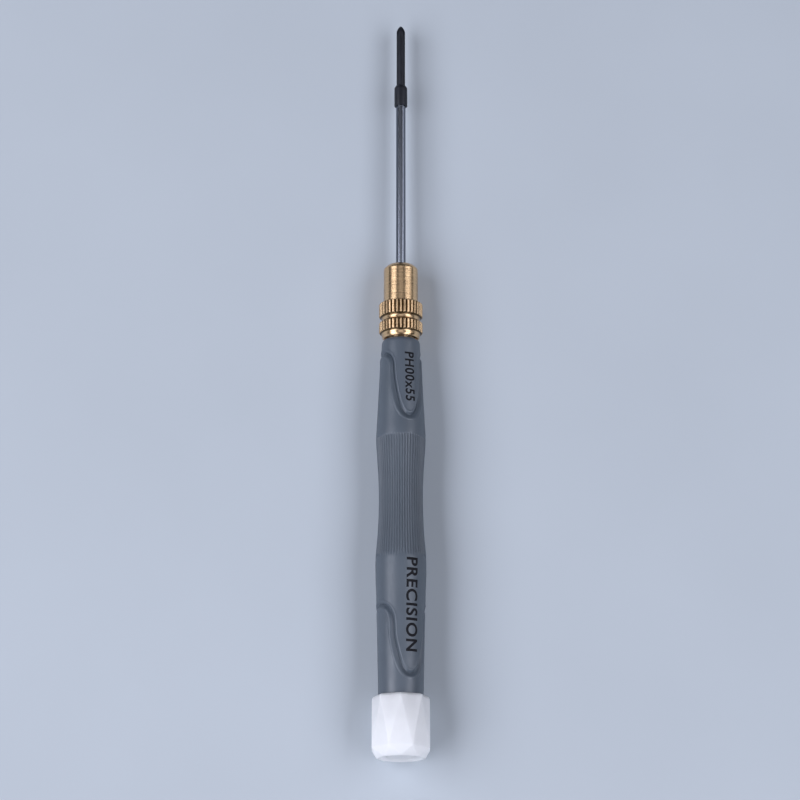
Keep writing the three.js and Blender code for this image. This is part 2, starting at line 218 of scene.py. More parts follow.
def outline(y):
    """Radius of the handle at y: a smooth curve through OUTLINE."""
    y = np.asarray(y, float)
    knots, radii = OUTLINE[:, 0], OUTLINE[:, 1]
    slopes = np.gradient(radii, knots)
    i = np.clip(np.searchsorted(knots, y) - 1, 0, len(knots) - 2)
    span = knots[i + 1] - knots[i]
    t = np.clip((y - knots[i]) / span, 0, 1)
    return ((2 * t**3 - 3 * t**2 + 1) * radii[i] + (t**3 - 2 * t**2 + t) * span * slopes[i]
            + (3 * t**2 - 2 * t**3) * radii[i + 1] + (t**3 - t**2) * span * slopes[i + 1])


def wave_half(wave):
    """Half of a wave line, one channel's top to the next, as (degrees from the tongue's middle, y)."""
    across = np.sin(np.linspace(-math.pi / 2, math.pi / 2, 400))
    tongue = wave["side_low"] - wave["tongue"] * (1 - np.abs(across) ** TONGUE_POWER)
    rest = 90 - wave["half_angle"] - TONGUE_SIDE_ANGLE
    turn = np.linspace(0, math.pi / 2, CHANNEL_STEPS)
    channel_angle = 90 - rest * np.cos(turn) ** (2 / CHANNEL_POWER)
    channel = wave["side_high"] + wave["channel"] * np.sin(turn) ** (2 / CHANNEL_POWER)
    angle = np.concatenate([-channel_angle[::-1], wave["half_angle"] * across, channel_angle])
    return angle, np.concatenate([channel[::-1], tongue, channel])


def smooth_loop(values, passes):
    for _ in range(passes):
        values = (np.roll(values, 1, 0) + 2 * values + np.roll(values, -1, 0)) / 4
    return values


def wave_loop(wave):
    """The whole wave line on the developed surface: evenly spaced points (arc, y), unit normals to the
    tip side, and whether each point is in a channel."""
    angle, y = wave_half(wave)
    arc = np.radians(np.concatenate([angle, angle[1:] + 180])) * WAVE_RADIUS
    height = np.concatenate([y, y[1:]])
    travelled = np.concatenate([[0], np.cumsum(np.hypot(np.diff(arc), np.diff(height)))])
    even = np.arange(COLUMNS) * travelled[-1] / COLUMNS
    turn = 2 * math.pi * WAVE_RADIUS
    lead = smooth_loop(np.interp(even, travelled, arc) - EVEN_ARC, 6)
    level = smooth_loop(np.interp(even, travelled, height), 6)
    points = np.stack([EVEN_ARC + lead + math.radians(wave["direction"]) * WAVE_RADIUS, level], axis=1)
    side_top = travelled[CHANNEL_STEPS - 1] / travelled[-1] * COLUMNS
    in_half_turn = np.arange(COLUMNS) % (COLUMNS // 2)
    channel = np.minimum(in_half_turn, COLUMNS // 2 - in_half_turn) <= side_top
    ahead, behind = np.roll(points, -1, 0), np.roll(points, 1, 0)
    ahead[-1, 0] += turn
    behind[0, 0] -= turn
    tangent = ahead - behind
    normal = np.stack([-tangent[:, 1], tangent[:, 0]], axis=1)
    return points, normal / np.linalg.norm(normal, axis=1)[:, None], channel


WAVES = {"front": wave_loop(FRONT_WAVE), "rear": wave_loop(REAR_WAVE)}


def surface_rows(developed, radius):
    """Ring of points from (arc, y) pairs and their radii."""
    return polar(radius, np.degrees(developed[:, 0] / WAVE_RADIUS), developed[:, 1])


def groove(distance, side):
    """Depth of the groove at a distance from the wave line, with a raised lip beside it."""
    width = GROOVE["tip_width"] if side > 0 else GROOVE["cap_width"]
    lip = LIP["height"] * math.exp(-(((distance - width - LIP["spread"]) / LIP["spread"]) ** 2))
    return GROOVE["depth"] * (0.5 + 0.5 * math.cos(math.pi * min(distance / width, 1))) - lip


BAND = np.concatenate([[PART_GAP], np.linspace(0.07, 1.12, 24), [1.2, 1.3]])


def band_rows(line, side, proud):
    """Rings beside a wave line, from its seam outwards.
    The side is +1 towards the tip and -1 towards the cap."""
    points, normals, _ = WAVES[line]
    rows = []
    for distance in BAND:
        at = points + normals * distance * side
        rows.append(surface_rows(at, outline(at[:, 1]) + proud - groove(distance, side)))
    return rows


def tip_side_arc(line, distance):
    """Arcs for a level ring on a wave line's tip side. The columns from the tongues' flanks fan out
    inside the tongues, so that none crosses another."""
    points, normals, channel = WAVES[line]
    start = (points + normals * distance)[:, 0]
    column = np.arange(2 * COLUMNS)
    twice = np.concatenate([start, start + 2 * math.pi * WAVE_RADIUS])
    outside = np.tile(channel, 2)
    return np.interp(column, column[outside], twice[outside])[:COLUMNS]


def blend_rows(line, side, proud, end_y, count):
    """Rings that lead from the edge of a band to a level ring at end_y."""
    points, normals, _ = WAVES[line]
    start = points + normals * BAND[-1] * side
    arc = tip_side_arc(line, BAND[-1]) if side > 0 else LEVEL_ARC
    level = np.stack([arc, np.full(COLUMNS, end_y)], axis=1)
    rows = []
    for t in np.linspace(0, 1, count + 1)[1:] ** 1.5:
        at = start + (level - start) * t
        rows.append(surface_rows(at, outline(at[:, 1]) + proud))
    return rows


def level_rows(ys, radius_at, first_arc=LEVEL_ARC):
    """Level rings at the heights ys; radius_at(y) is a number or one value for each column.
    The columns move from first_arc to their even places along the way."""
    rows = []
    for y, t in zip(ys, np.linspace(0, 1, len(ys))):
        arc = first_arc + (LEVEL_ARC - first_arc) * t * t * (3 - 2 * t)
        rows.append(surface_rows(np.stack([arc, np.full(COLUMNS, y)], axis=1), radius_at(y)))
    return rows


def wall_row(line, side, radius_at):
    """Ring under a wave line's seam."""
    points, normals, _ = WAVES[line]
    at = points + normals * PART_GAP * side
    return surface_rows(at, radius_at(at[:, 1]))


def ribbed_radius(y):
    """Radius of the grip at y, with its lengthways ribs."""
    ease = lambda t: np.clip(t, 0, 1) ** 2 * (3 - 2 * np.clip(t, 0, 1))
    rear = ease((y - RIBS["rear"]) / RIBS["fade"])
    front = ease((RIBS["front"] - y) / RIBS["front_fade"])
    phase = np.arange(COLUMNS) * RIBS["count"] / COLUMNS * 2 * math.pi
    valley = (0.5 - 0.5 * np.cos(phase)) ** 1.6
    return outline(y) + GRIP_PROUD - RIBS["depth"] * rear * front * valley


def make_core(material):
    """Hard handle moulding: nose and rear zone, with the pocket that holds the grip."""
    outer = lambda y: outline(y) - GRIP_PROUD
    pocket = lambda y: outline(y) - POCKET_DEPTH
    plain = lambda r, y: polar(r, np.degrees(LEVEL_ARC / WAVE_RADIUS), np.full(COLUMNS, y))
    nose_arc = tip_side_arc("front", BAND[-1])
    at_nose = lambda r, y: polar(r, np.degrees(nose_arc / WAVE_RADIUS), np.full(COLUMNS, y))
    round_y, face_radius = NOSE_Y - NOSE_ROUND["along"], float(outer(NOSE_Y)) - NOSE_ROUND["across"]
    shoulder, corner = (float(outer(round_y)), round_y), (float(outer(NOSE_Y)), NOSE_Y)
    face = (face_radius, NOSE_Y)
    turn = np.linspace(0, 1, 9)[:, None]
    nose = (1 - turn) ** 2 * shoulder + 2 * turn * (1 - turn) * np.array(corner) + turn ** 2 * face
    hole = NOSE_HOLE_RADIUS
    nose = np.vstack([nose, filleted([(3, NOSE_Y), (hole + 0.05, NOSE_Y, 0.1), (hole, NOSE_Y - 2)])])
    pivot, mouth_y = PIVOT_HOLE["radius"], SPIGOT_Y + PIVOT_HOLE["mouth"]
    rows = [plain(1.0, SPIGOT_Y + PIVOT_HOLE["depth"]), plain(pivot, SPIGOT_Y + PIVOT_HOLE["depth"])]
    rows += [plain(r, y) for r, y in filleted([
        (pivot, mouth_y), (pivot, SPIGOT_Y, 0.15), (SPIGOT_RADIUS, SPIGOT_Y, 0.3),
        (SPIGOT_RADIUS, HANDLE_REAR_Y - 0.05)])]
    rows += level_rows([HANDLE_REAR_Y + 0.02, 12.8, 13.4, 14.1], outer)
    rows += blend_rows("rear", -1, -GRIP_PROUD, 14.6, 26)[::-1]
    rows += band_rows("rear", -1, -GRIP_PROUD)[::-1]
    rows += [wall_row("rear", -1, pocket)]
    rows += level_rows(np.linspace(34, 40, 12), pocket, tip_side_arc("rear", 0))
    rows += level_rows(np.linspace(42, 68, 10), pocket)
    rows += [wall_row("front", 1, pocket)]
    rows += band_rows("front", 1, -GRIP_PROUD)
    rows += blend_rows("front", 1, -GRIP_PROUD, NOSE_Y - 1.7, 26)
    rows += [at_nose(r, y) for r, y in nose]
    rows += [at_nose(hole, BLADE_HOLE_END_Y), at_nose(BLADE_HOLE_RADIUS, BLADE_HOLE_END_Y)]
    obj = ring_object("handle_shell", rows, closed=False)
    return place(obj, "handle", "handle_plastic", material, "handle_core")


def make_grip(material):
    """Soft overmould between the wave lines, ribbed on the waist."""
    inside = lambda y: outline(y) - POCKET_DEPTH + SLEEVE_CLEARANCE
    smooth = lambda y: outline(y) + GRIP_PROUD
    rear, front = RIBS["rear"], RIBS["front"]
    rows = band_rows("rear", 1, GRIP_PROUD)
    rows += blend_rows("rear", 1, GRIP_PROUD, 34.5, 30)
    rows += level_rows(np.linspace(34.8, rear, 18), smooth, tip_side_arc("rear", BAND[-1]))
    for low, high, count in ((rear, rear + 1.6, 9), (rear + 1.6, front - 0.6, 26), (front - 0.6, front, 8)):
        rows += level_rows(np.linspace(low, high, count)[1:], ribbed_radius)
    rows += level_rows([67.3, 67.9], smooth)
    rows += blend_rows("front", -1, GRIP_PROUD, 68.2, 30)[::-1]
    rows += band_rows("front", -1, GRIP_PROUD)[::-1]
    rows += [wall_row("front", -1, inside)]
    rows += level_rows(np.linspace(68, 42, 10), inside)
    rows += level_rows(np.linspace(34, 40, 12), inside, tip_side_arc("rear", 0))[::-1]
    rows += [wall_row("rear", 1, inside)]
    obj = ring_object("soft_grip", rows, closed=True)
    return place(obj, "handle", "grip_rubber", material, "grip_sleeve")


def cut_by(obj, cutters):
    """Cuts solids out of obj and bakes the result into its mesh."""
    for cutter in cutters:
        modifier = obj.modifiers.new("cut", "BOOLEAN")
        modifier.operation, modifier.solver, modifier.object = "DIFFERENCE", "EXACT", cutter
    bpy.context.view_layer.update()
    mesh = bpy.data.meshes.new_from_object(obj.evaluated_get(bpy.context.evaluated_depsgraph_get()))
    obj.modifiers.clear()
    obj.data = mesh
    for cutter in cutters:
        bpy.data.objects.remove(cutter)
    mesh.polygons.foreach_set("use_smooth", [True] * len(mesh.polygons))
    even_normals(obj)
    return obj


# ---- Print ----

PRINT_STEP = 0.12                # the letters are cut this fine round the handle, so that they follow it
INK_THICKNESS = 0.02
STROKE_WEIGHT = 0.025            # in units of the font
LETTER_SPACING = 1.12
# Where each print is: the middle of its words, and how far its surface stands off the outline.
PRINTS = {
    "size_mark": {"words": "PH00x55", "height": 2.15, "length": 10.8, "y": 79.3, "angle": 25.5,
                  "proud": -GRIP_PROUD},
    "grip_mark": {"words": "PRECISION", "height": 2.6, "length": 19.5, "y": 30.6, "angle": 27.0,
                  "proud": GRIP_PROUD},
}


def letters(words):
    """Flat mesh of the words, as a bmesh."""
    curve = bpy.data.curves.new("letters", "FONT")
    curve.body = words
    curve.offset = STROKE_WEIGHT
    curve.space_character = LETTER_SPACING
    source = bpy.data.objects.new("letters", curve)
    bpy.context.scene.collection.objects.link(source)
    bpy.context.view_layer.update()
    mesh = bpy.data.meshes.new_from_object(source)
    bpy.data.objects.remove(source)
    flat = bmesh.new()
    flat.from_mesh(mesh)
    bmesh.ops.remove_doubles(flat, verts=flat.verts, dist=1e-5)
    return flat


def make_print(name, mark, material):
    """Printed words that read from the tip towards the cap, wrapped on the handle."""
    flat = letters(mark["words"])
    height, length = mark["height"], mark["length"]
    co = np.array([v.co[:2] for v in flat.verts])
    low, size = co.min(0), np.ptp(co, axis=0)
    for v in flat.verts:
        v.co.x = (v.co.x - low[0]) / size[0] * length
        v.co.y = (v.co.y - low[1]) / size[1] * height
    for axis, reach, step in ((1, height, PRINT_STEP), (0, length, 4 * PRINT_STEP)):
        for at in np.arange(step, reach, step):
            point, normal = Vector(), Vector()
            point[axis], normal[axis] = at, 1
            parts = flat.verts[:] + flat.edges[:] + flat.faces[:]
            bmesh.ops.bisect_plane(flat, geom=parts, plane_co=point, plane_no=normal)
    raised = bmesh.ops.extrude_face_region(flat, geom=flat.faces[:])["geom"]
    for v in raised:
        if isinstance(v, bmesh.types.BMVert):
            v.co.z += INK_THICKNESS
    bmesh.ops.recalc_face_normals(flat, faces=flat.faces[:])
    for v in flat.verts:
        y = mark["y"] + length / 2 - v.co.x
        radius = float(outline(y)) + mark["proud"]
        angle = mark["angle"] + math.degrees((v.co.y - height / 2) / radius)
        v.co = Vector(polar(radius + v.co.z - INK_THICKNESS / 4, angle, y))
    return place(bmesh_object(name, flat), "handle", None, material)


# ---- Chuck ----

KNURL = {"count": 34, "steps": 12, "crest": 4.61, "root": 4.2, "flute": 0.333}
KNURLED_BANDS = ((89.8, 92.2), (93.3, 96.4))
BAND_CHAMFER = 0.24
# Radii of the nut, from its rear end to its front.
NUT = {"bore": 2.9, "recess": 3.45, "rear": 3.72, "neck": 3.98, "relief": 3.92, "barrel": 3.62,
       "front": 2.72, "mouth": 1.25, "seat": 1.73}
NUT_GAP = 0.005                  # between a knurled band and the ring beside it
THREAD = {"crest": 2.83, "root": 2.62, "pitch": 0.5}
STUD = {"shaft": 2.25, "pocket": 2.0, "bore": 1.15}


def knurled_band(rear, front, flute, angles):
    """Rings of one knurled band, with its ends chamfered; flute is the depth of the V's at each column."""
    rows = []
    ends = np.array([0, 0.03, 0.1, 0.17, 0.24, 0.3])
    for y in np.concatenate([rear + ends, np.linspace(rear + 0.5, front - 0.5, 4), front - ends[::-1]]):
        slope = min(1, (min(y - rear, front - y) / BAND_CHAMFER)) ** 0.7
        cone = KNURL["root"] + (KNURL["crest"] - KNURL["root"]) * slope
        rows.append(polar(np.minimum(KNURL["crest"] - flute, cone), angles, y))
    return rows


def mark_cavities(obj, rows, rear, front):
    """Point attribute for the brass: how deep in the knurl a point lies, 0 outside the bands. The brass is
    darkened by it, as painted shade with some grime in the valleys.
    """
    rows = np.array(rows)
    radii = np.hypot(rows[:, :, 0], rows[:, :, 2])
    depth = np.clip((KNURL["crest"] - radii) / (KNURL["crest"] - KNURL["root"]), 0, 1)
    knurled = (rows[:, :1, 1] > rear - 0.01) & (rows[:, :1, 1] < front + 0.01)
    on_band = knurled & (radii > KNURL["root"] - 0.05)
    cavity = obj.data.attributes.new("cavity", "FLOAT", "POINT")
    cavity.data.foreach_set("value", (depth * on_band).ravel())


def make_nut(material):
    """Brass nut: smooth barrel and two bands of straight knurling."""
    columns = KNURL["count"] * KNURL["steps"]
    angles = np.arange(columns) * 360 / columns
    across = np.abs((np.arange(columns) % KNURL["steps"]) / KNURL["steps"] - 0.5)
    flute = (KNURL["crest"] - KNURL["root"]) * np.clip(1 - across / KNURL["flute"], 0, 1)
    low, high = NUT_LOW.y, NUT_HIGH.y
    (rear_0, rear_1), (front_0, front_1) = KNURLED_BANDS
    base, bore, mouth = KNURL["root"], NUT["bore"], NUT["mouth"]
    recess, neck, relief, barrel = NUT["recess"], NUT["neck"], NUT["relief"], NUT["barrel"]
    rear_cone = [(bore, low + 2), (bore, low + 0.8, 0.05), (recess, low + 0.8, 0.05), (recess, low, 0.04),
                 (NUT["rear"], low, 0.1), (neck, low + 0.42, 0.1), (neck, rear_0 - 0.25, 0.1),
                 (base, rear_0 - NUT_GAP)]
    waist = [(base, rear_1 + NUT_GAP), (relief, rear_1 + 0.28, 0.08), (relief, front_0 - 0.28, 0.08),
             (base, front_0 - NUT_GAP)]
    front_end = [(base - 0.02, front_1 + NUT_GAP), (barrel, front_1 + 0.05, 0.14),
                 (barrel, high - 0.82, 0.3), (NUT["front"], high, 0.2), (mouth + 0.05, high, 0.08),
                 (mouth, high - 0.9), (NUT["seat"], high - 0.95, 0.05), (2.5, high - 3.9), (bore, high - 4.3)]
    plain = lambda profile: [polar(np.full(columns, r), angles, y) for r, y in filleted(profile)]
    rows = plain(rear_cone) + knurled_band(rear_0, rear_1, flute, angles)
    rows += plain(waist) + knurled_band(front_0, front_1, flute, angles) + plain(front_end)
    obj = ring_object("knurled_nut", rows, closed=True)
    mark_cavities(obj, rows, rear_0, front_1)
    even_normals(obj)
    return place(obj, "nut", "brass", material, "chuck_nut")


def make_stud(material):
    """Threaded stud that the nut screws on to, with the collet's pocket in its front."""
    columns = 48
    angles = np.arange(columns) * 360 / columns
    low, high = STUD_LOW.y, STUD_HIGH.y
    rear, front = NOSE_Y + 0.15, high - 0.45
    root, rise = THREAD["root"], THREAD["crest"] - THREAD["root"]
    shaft, pocket, bore = STUD["shaft"], STUD["pocket"], STUD["bore"]
    plain = lambda profile: [polar(np.full(columns, r), angles, y) for r, y in filleted(profile)]
    rows = plain([(1.0, low), (shaft, low, 0.2), (shaft, rear - 0.02, 0.02), (root, rear)])
    for y in np.arange(rear + 0.05, front, THREAD["pitch"] / 8):
        turn = (y / THREAD["pitch"] - angles / 360) % 1
        ridge = np.clip(1.25 - 2.5 * np.abs(turn - 0.5), 0, 1)
        fade = min(1, (y - rear) / 0.4, (front - y) / 0.4)
        rows.append(polar(root + rise * ridge * fade, angles, y))
    rows += plain([(root, front), (2.4, high, 0.05), (pocket, high, 0.05), (pocket, 93, 0.1),
                   (bore, 92.3, 0.05), (bore, SHANK_LOW.y - 0.1), (0.5, SHANK_LOW.y - 0.1)])
    obj = ring_object("threaded_stud", rows, closed=False)
    return place(obj, "handle", "brass", material, "chuck_body")


# ---- Blade ----

def make_blade(plated, black):
    radius, front, rear = SHANK_HIGH.x, SHANK_HIGH.y, SHANK_LOW.y
    shank = turned("plated_shank", [(0, rear), (radius, rear, 0.2), (radius, front, 0.1), (0, front)])
    place(shank, "blade", "plated_steel", plated, "shank")

    bore, outer = radius + 0.01, COLLAR_HIGH.x
    low, high = COLLAR_LOW.y, COLLAR_HIGH.y
    bit_radius = BIT_HIGH.x
    front_bore = bit_radius + 0.01
    collar = turned("collar", [
        (bore, low, 0.05), (outer, low, 0.09), (outer, high - 0.62, 0.15), (bit_radius + 0.1, high, 0.06),
        (front_bore, high - 0.02), (front_bore, front + 0.15), (bore, front + 0.15)])
    place(collar, "blade", "black_steel", black, "bit_sleeve")
    place(make_bit(bit_radius), "blade", "black_steel", black, "driver_bit")


FLUTE = {"size": 1.6, "length": 6.0, "depth": 0.2, "lean": 14.5, "round": 0.12}
FLUTE_TURNS = (45, 135, 225, 315)


def flute_cutter(tip, turn):
    """Square bar that stands on a rounded edge and leans out from the tip; it cuts one flute."""
    bm = bmesh.new()
    bmesh.ops.create_cube(bm, size=1)
    size, length = FLUTE["size"], FLUTE["length"]
    bm.transform(Matrix.Diagonal((size, length, size, 1)))
    bm.transform(Matrix.Rotation(math.pi / 4, 4, "Y"))
    lengthways = [e for e in bm.edges if abs(e.verts[0].co.y - e.verts[1].co.y) > 1]
    bmesh.ops.bevel(bm, geom=lengthways, offset=FLUTE["round"], segments=4, profile=0.5, affect="EDGES")
    bm.transform(Matrix.Translation((0, -length / 2, size / math.sqrt(2) - 0.05)))
    lean = Matrix.Rotation(math.radians(-FLUTE["lean"]), 4, "X")
    bm.transform(Matrix.Translation((0, tip, FLUTE["depth"])) @ lean)
    bm.transform(Matrix.Rotation(math.radians(turn), 4, "Y"))
    return bmesh_object("flute", bm)


def make_bit(radius):
    """Black tip with four flutes that leave a cross at its point."""
    low, tip = BIT_LOW.y, BIT_HIGH.y
    rod = turned("cross_tip", [
        (0, low), (radius, low, 0.05), (radius, tip - 1.3, 0.3), (0.7 * radius, tip - 0.6, 0.3),
        (0.25 * radius, tip - 0.06, 0.12), (0, tip - 0.03)])
    return cut_by(rod, [flute_cutter(tip, turn) for turn in FLUTE_TURNS])


# ---- Cap ----

CAP_SIDES = 8
CAP_BEVEL = 0.09
CAP_RIM_RADIUS = 5.0
CAP_WIDEST_Y = 1.6
CAP_BORE = {"dish": 4.15, "plug": 2.92, "screw": 3.4, "bearing": 4.05, "spigot": 4.87}     # radii


def make_cap(material):
    """White cap: two rows of triangular facets, a dished end and a stepped bore."""
    rest, rim, front = -REST_Z, CAP_LOW.y, CAP_HIGH.y
    widest = rest / math.cos(math.pi / CAP_SIDES)
    bm = bmesh.new()
    for radius, y, turn in ((rest - 0.3, front, 0), (rest, front - 0.5, 0), (widest, CAP_WIDEST_Y, 0.5),
                            (CAP_RIM_RADIUS, rim, 0)):
        for i in range(CAP_SIDES):
            bm.verts.new(Vector(polar(radius, (i + turn) * 360 / CAP_SIDES, y)))
    bmesh.ops.convex_hull(bm, input=bm.verts[:])
    bmesh.ops.dissolve_limit(bm, angle_limit=math.radians(1), verts=bm.verts[:], edges=bm.edges[:])
    bmesh.ops.bevel(bm, geom=bm.edges[:], offset=CAP_BEVEL, segments=3, profile=0.5, affect="EDGES",
                    clamp_overlap=True)
    obj = bmesh_object("faceted_cap", bm)
    dish, plug, screw = CAP_BORE["dish"], CAP_BORE["plug"], CAP_BORE["screw"]
    bearing, spigot = CAP_BORE["bearing"], CAP_BORE["spigot"]
    bore = turned("bore", [
        (0, rim - 1), (4.6, rim - 1), (4.36, rim + 0.02, 0.1), (dish, -0.08, 0.12), (3.1, 0, 0.02),
        (3.02, 0.12, 0.04), (plug, 0.12), (plug, 1.65), (screw, 1.65), (screw, 3.95), (bearing, 3.95),
        (bearing, 7.2), (spigot, 7.2), (spigot, front - 0.15, 0.03), (5.1, front + 0.05), (5.1, front + 1),
        (0, front + 1)], 128)
    bore.modifiers.clear()
    cut_by(obj, [bore])
    place(obj, "cap", "cap_plastic", material, "cap_shell")

    radius, inner = PLUG_HIGH.x, PLUG_HIGH.y
    disc = turned("end_plug", [
        (0, 0.02), (1.9, 0.02, 0.1), (2.1, 0.0, 0.05), (2.62, 0.0, 0.1), (radius, 0.16, 0.08),
        (radius, inner), (0, inner)])
    place(disc, "cap", "cap_plastic", material, "cap_plug")


# ---- Materials ----

def new_material(name, colour, roughness, metallic=0.0):
    """Principled material with its node tree ready for more; returns (material, nodes, links, shader)."""
    material = bpy.data.materials.new(name)
    material.use_nodes = True
    nodes, links = material.node_tree.nodes, material.node_tree.links
    shader = nodes["Principled BSDF"]
    shader.inputs["Base Color"].default_value = (*colour, 1)
    shader.inputs["Roughness"].default_value = roughness
    shader.inputs["Metallic"].default_value = metallic
    return material, nodes, links, shader


def coordinates(nodes, links, scale):
    """Object coordinates times scale, in cycles per millimetre along each axis."""
    source = nodes.new("ShaderNodeTexCoord")
    mapping = nodes.new("ShaderNodeMapping")
    mapping.inputs["Scale"].default_value = [s / MM for s in scale]
    links.new(source.outputs["Object"], mapping.inputs["Vector"])
    return mapping.outputs["Vector"]


def noise(nodes, links, scale, detail=2.0, roughness=0.5):
    texture = nodes.new("ShaderNodeTexNoise")
    texture.inputs["Scale"].default_value = 1.0
    texture.inputs["Detail"].default_value = detail
    texture.inputs["Roughness"].default_value = roughness
    links.new(coordinates(nodes, links, scale), texture.inputs["Vector"])
    return texture.outputs["Fac"]


def mapped(nodes, links, value, low, high, start=0.3, end=0.7):
    """The value's range start to end, mapped to low to high."""
    node = nodes.new("ShaderNodeMapRange")
    for name, number in (("From Min", start), ("From Max", end), ("To Min", low), ("To Max", high)):
        node.inputs[name].default_value = number
    links.new(value, node.inputs["Value"])
    return node.outputs["Result"]


def tinted(nodes, links, value, dark, light, start=0.3, end=0.7):
    """A colour between dark and light by value."""
    ramp = nodes.new("ShaderNodeValToRGB")
    ramp.color_ramp.elements[0].position, ramp.color_ramp.elements[0].color = start, (*dark, 1)
    ramp.color_ramp.elements[1].position, ramp.color_ramp.elements[1].color = end, (*light, 1)
    links.new(value, ramp.inputs["Fac"])
    return ramp.outputs["Color"]


def covered(nodes, links, amount, base, cover):
    """The base colour output with a fixed colour laid over it by amount."""
    mix = nodes.new("ShaderNodeMix")
    mix.data_type = "RGBA"
    under, over = (socket for socket in mix.inputs if socket.type == "RGBA")
    over.default_value = (*cover, 1)
    links.new(amount, mix.inputs["Factor"])
    links.new(base, under)
    return next(socket for socket in mix.outputs if socket.type == "RGBA")


def add_bump(nodes, links, shader, heights):
    """Bumps from (height output, depth in millimetres) pairs, one on another."""
    normal = None
    for value, depth in heights:
        bump = nodes.new("ShaderNodeBump")
        bump.inputs["Strength"].default_value = 1.0
        bump.inputs["Distance"].default_value = depth * MM
        links.new(value, bump.inputs["Height"])
        if normal:
            links.new(normal, bump.inputs["Normal"])
        normal = bump.outputs["Normal"]
    links.new(normal, shader.inputs["Normal"])


def scaled(colour, factor):
    return tuple(c * factor for c in colour)


def moulded_grey(name, colour, roughness, grain):
    """Moulded plastic or rubber: fine grain, slight mottling, uneven gloss."""
    material, nodes, links, shader = new_material(name, colour, roughness)
    shader.inputs["Specular IOR Level"].default_value = 0.75
    mottle = noise(nodes, links, (0.35, 0.12, 0.35), 3)
    tint = tinted(nodes, links, mottle, scaled(colour, 0.94), scaled(colour, 1.06))
    links.new(tint, shader.inputs["Base Color"])
    gloss = noise(nodes, links, (1.3, 0.5, 1.3), 2)
    links.new(mapped(nodes, links, gloss, roughness - 0.05, roughness + 0.06), shader.inputs["Roughness"])
    fine = noise(nodes, links, (9, 9, 9), 2, 0.6)
    soft = noise(nodes, links, (0.5, 0.2, 0.5), 2)
    add_bump(nodes, links, shader, [(soft, 0.02), (fine, grain)])
    return material


def turned_brass():
    """Brass with marks round it, which stretch its highlights, and with painted shade and some grime that
    darken the knurl's valleys.
    """
    colour = (0.76, 0.52, 0.29)
    material, nodes, links, shader = new_material("turned_brass", colour, 0.28, 1.0)
    shader.inputs["Anisotropic"].default_value = 0.6
    shader.inputs["Anisotropic Rotation"].default_value = 0.25
    tangent = nodes.new("ShaderNodeTangent")
    tangent.direction_type, tangent.axis = "RADIAL", "Y"
    links.new(tangent.outputs["Tangent"], shader.inputs["Tangent"])
    patina = noise(nodes, links, (0.5, 0.35, 0.5), 4, 0.6)
    clean = tinted(nodes, links, patina, scaled(colour, 0.9), scaled(colour, 1.07))
    cavity = nodes.new("ShaderNodeAttribute")
    cavity.attribute_name = "cavity"
    # Painted shade with some grime: the knurl's valleys go dark brown by their depth.
    knurl_shade_and_grime = mapped(nodes, links, cavity.outputs["Fac"], 0, 0.95, 0.05, 0.6)
    links.new(covered(nodes, links, knurl_shade_and_grime, clean, (0.07, 0.045, 0.02)), shader.inputs["Base Color"])
    rings = noise(nodes, links, (0.02, 7.0, 0.02), 3, 0.7)
    marks = noise(nodes, links, (0.15, 2.4, 0.15), 2)
    links.new(mapped(nodes, links, rings, 0.23, 0.33), shader.inputs["Roughness"])
    add_bump(nodes, links, shader, [(marks, 0.022), (rings, 0.008)])
    return material


def plated_steel():
    colour = (0.25, 0.27, 0.31)
    material, nodes, links, shader = new_material("plated_steel", colour, 0.12, 1.0)
    shader.inputs["Specular Tint"].default_value = (0.25, 0.27, 0.3, 1)
    haze = noise(nodes, links, (0.8, 0.1, 0.8), 3)
    links.new(tinted(nodes, links, haze, scaled(colour, 0.93), colour), shader.inputs["Base Color"])
    drawn = noise(nodes, links, (9, 0.05, 9), 2, 0.6)
    links.new(mapped(nodes, links, drawn, 0.14, 0.24), shader.inputs["Roughness"])
    add_bump(nodes, links, shader, [(drawn, 0.002)])
    return material


def black_oxide():
    colour = (0.012, 0.0135, 0.019)
    material, nodes, links, shader = new_material("black_oxide", colour, 0.42, 0.35)
    cloud = noise(nodes, links, (0.9, 0.5, 0.9), 4, 0.6)
    tint = tinted(nodes, links, cloud, scaled(colour, 0.75), scaled(colour, 1.5))
    links.new(tint, shader.inputs["Base Color"])
    links.new(mapped(nodes, links, cloud, 0.36, 0.52), shader.inputs["Roughness"])
    fine = noise(nodes, links, (14, 14, 14), 2)
    add_bump(nodes, links, shader, [(fine, 0.004)])
    return material


def white_plastic():
    colour = (0.94, 0.94, 0.945)
    material, nodes, links, shader = new_material("white_plastic", colour, 0.38)
    shader.inputs["Subsurface Weight"].default_value = 1.0
    shader.inputs["Subsurface Radius"].default_value = (1, 1, 1)
    shader.inputs["Subsurface Scale"].default_value = 2.5 * MM
    shade = noise(nodes, links, (0.25, 0.25, 0.25), 3)
    links.new(tinted(nodes, links, shade, scaled(colour, 0.96), colour), shader.inputs["Base Color"])
    links.new(mapped(nodes, links, shade, 0.34, 0.44), shader.inputs["Roughness"])
    fine = noise(nodes, links, (7, 7, 7), 2)
    add_bump(nodes, links, shader, [(fine, 0.003)])
    return material


def bright_steel(name, colour, roughness):
    material, nodes, links, shader = new_material(name, colour, roughness, 1.0)
    ground = noise(nodes, links, (0.6, 8.0, 0.6), 3)
    links.new(mapped(nodes, links, ground, roughness - 0.06, roughness + 0.08), shader.inputs["Roughness"])
    links.new(tinted(nodes, links, ground, scaled(colour, 0.92), colour), shader.inputs["Base Color"])
    add_bump(nodes, links, shader, [(ground, 0.002)])
    return material


def black_ink():
    colour = (0.006, 0.006, 0.008)
    material, nodes, links, shader = new_material("black_ink", colour, 0.7)
    shader.inputs["Specular IOR Level"].default_value = 0.2
    patchy = noise(nodes, links, (2.5, 2.5, 2.5), 3)
    links.new(tinted(nodes, links, patchy, colour, scaled(colour, 1.8)), shader.inputs["Base Color"])
    links.new(mapped(nodes, links, patchy, 0.62, 0.8), shader.inputs["Roughness"])
    return material


# ---- Stage ----

